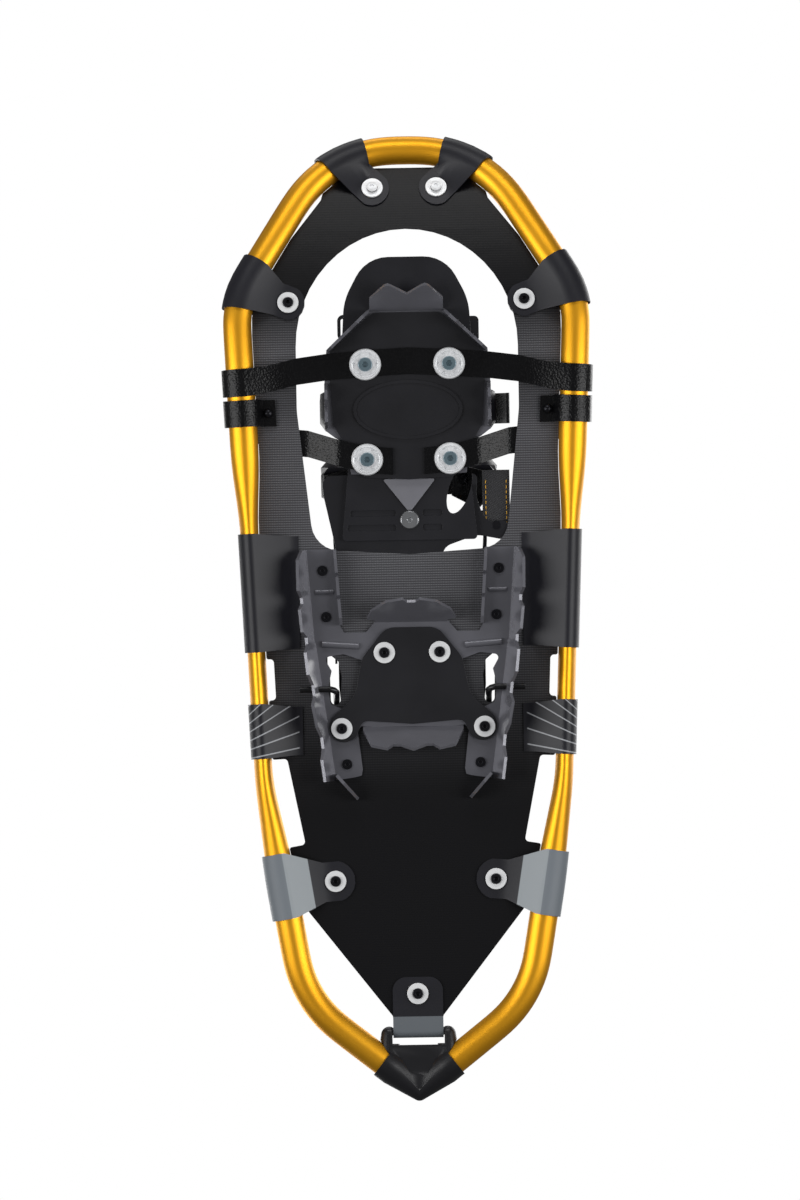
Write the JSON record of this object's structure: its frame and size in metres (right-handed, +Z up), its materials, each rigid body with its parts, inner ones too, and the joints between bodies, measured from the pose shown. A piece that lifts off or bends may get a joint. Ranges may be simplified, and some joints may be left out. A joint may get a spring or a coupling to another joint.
{
  "type": "snowshoe",
  "caption": "Aluminium-tube snowshoe with a riveted deck, steel traction, a strap-hung binding that pivots, a heel lift and cam-buckle harness.",
  "frame": {"origin": "middle of the shoe's footprint, on the plane of the tooth tips", "axes": "+Y along the shoe to the toe, +Z up from the snow to the boot, +X to one side so that the axes are right-handed"},
  "size_m": [0.2442, 0.6349, 0.1144],
  "materials": {
    "tube": "satin anodised",
    "connector": "moulded",
    "deck": "coated weave",
    "wrap": "matte coated sheet",
    "wrap_striped": "matte coated sheet with printed lines",
    "wrap_banded": "matte coated sheet with a grey band",
    "washer": "satin",
    "rivet": "dark oxide",
    "steel": "heat-treated",
    "ice_plate": "smooth",
    "moulding": "moulded",
    "wire": "black",
    "strap": "glossy grained coating",
    "dome_rivet": "polished",
    "flange": "satin",
    "bolt": "zinc plated",
    "badge": "moulded",
    "screw": "satin",
    "toe_cap": "matte",
    "wing": "matte",
    "small_rivet": "satin",
    "webbing": "woven with stitching",
    "buckle": "moulded",
    "pin": "polished",
    "lever": "moulded",
    "heel_strap": "matte"
  },
  "bodies": {
    "frame": {"frame_tube": "tube", "tail_connector": "connector", "deck": "deck", "toe_wrap_left": "wrap", "toe_wrap_right": "wrap", "shoulder_wrap_left": "wrap", "shoulder_wrap_right": "wrap", "waist_wrap_left": "wrap", "waist_wrap_right": "wrap", "striped_wrap_left": "wrap_striped", "striped_wrap_right": "wrap_striped", "rear_wrap_left": "wrap_banded", "rear_wrap_right": "wrap_banded", "tail_wrap": "wrap_banded", "wrap_washers": "washer", "wrap_rivets": "rivet", "heel_traction_plate": "steel", "heel_ice_plate": "ice_plate", "heel_washers": "washer", "heel_rivets": "rivet", "rail_rivets": "rivet", "heel_rest_pad": "moulding", "front_suspension_strap": "strap", "rear_suspension_strap_left": "strap", "rear_suspension_strap_right": "strap", "suspension_strap_rivets": "dome_rivet"},
    "binding": {"footbed": "moulding", "toe_ice_plate": "ice_plate", "toe_crampon": "steel", "flange_washers": "flange", "binding_bolts": "bolt", "binding_nuts": "bolt", "heel_tongue": "moulding", "tongue_badge": "badge", "tongue_screw": "screw", "toe_cap": "toe_cap", "harness_wing_left": "wing", "harness_wing_right": "wing", "wing_rivets": "small_rivet", "heel_webbing": "webbing", "toe_webbing": "webbing", "toe_buckle": "buckle", "toe_buckle_pin": "pin", "instep_webbing": "webbing", "instep_buckle": "buckle", "instep_buckle_pin": "pin", "heel_strap_pivots": "small_rivet"},
    "heel_lift": {"heel_lift_bail": "wire"},
    "toe_lever": {"toe_buckle_lever": "lever"},
    "instep_lever": {"instep_buckle_lever": "lever"},
    "heel_cradle": {"heel_strap": "heel_strap", "heel_buckle": "buckle", "heel_buckle_pin": "pin"},
    "heel_lever": {"heel_buckle_lever": "lever"}
  },
  "joints": [
    {"name": "binding_pivot", "type": "hinge", "parent": "frame", "child": "binding", "pos_m": [0, 0.167, 0.0168], "axis": [-1, 0, 0], "range_deg": [0, 40], "stiffness_Nm_per_rad": 3, "deforming": ["front_suspension_strap", "rear_suspension_strap_left", "rear_suspension_strap_right"]},
    {"name": "heel_lift_swing", "type": "hinge", "parent": "frame", "child": "heel_lift", "pos_m": [0, -0.046, 0.01595], "axis": [-1, 0, 0], "range_deg": [0, 100]},
    {"name": "toe_lever_swing", "type": "hinge", "parent": "binding", "child": "toe_lever", "pos_m": [0.01178, 0.137, 0.10165], "axis": [0, 1, 0], "range_deg": [0, 70]},
    {"name": "instep_lever_swing", "type": "hinge", "parent": "binding", "child": "instep_lever", "pos_m": [0.01184, 0.091, 0.10708], "axis": [0, 1, 0], "range_deg": [0, 70]},
    {"name": "heel_strap_swing", "type": "hinge", "parent": "binding", "child": "heel_cradle", "pos_m": [0, 0.066, 0.0475], "axis": [-1, 0, 0], "range_deg": [0, 60]},
    {"name": "heel_lever_swing", "type": "hinge", "parent": "heel_cradle", "child": "heel_lever", "pos_m": [0.0547, -0.01065, 0.06661], "axis": [0, 0.2419, 0.9703], "range_deg": [0, 70]}
  ]
}
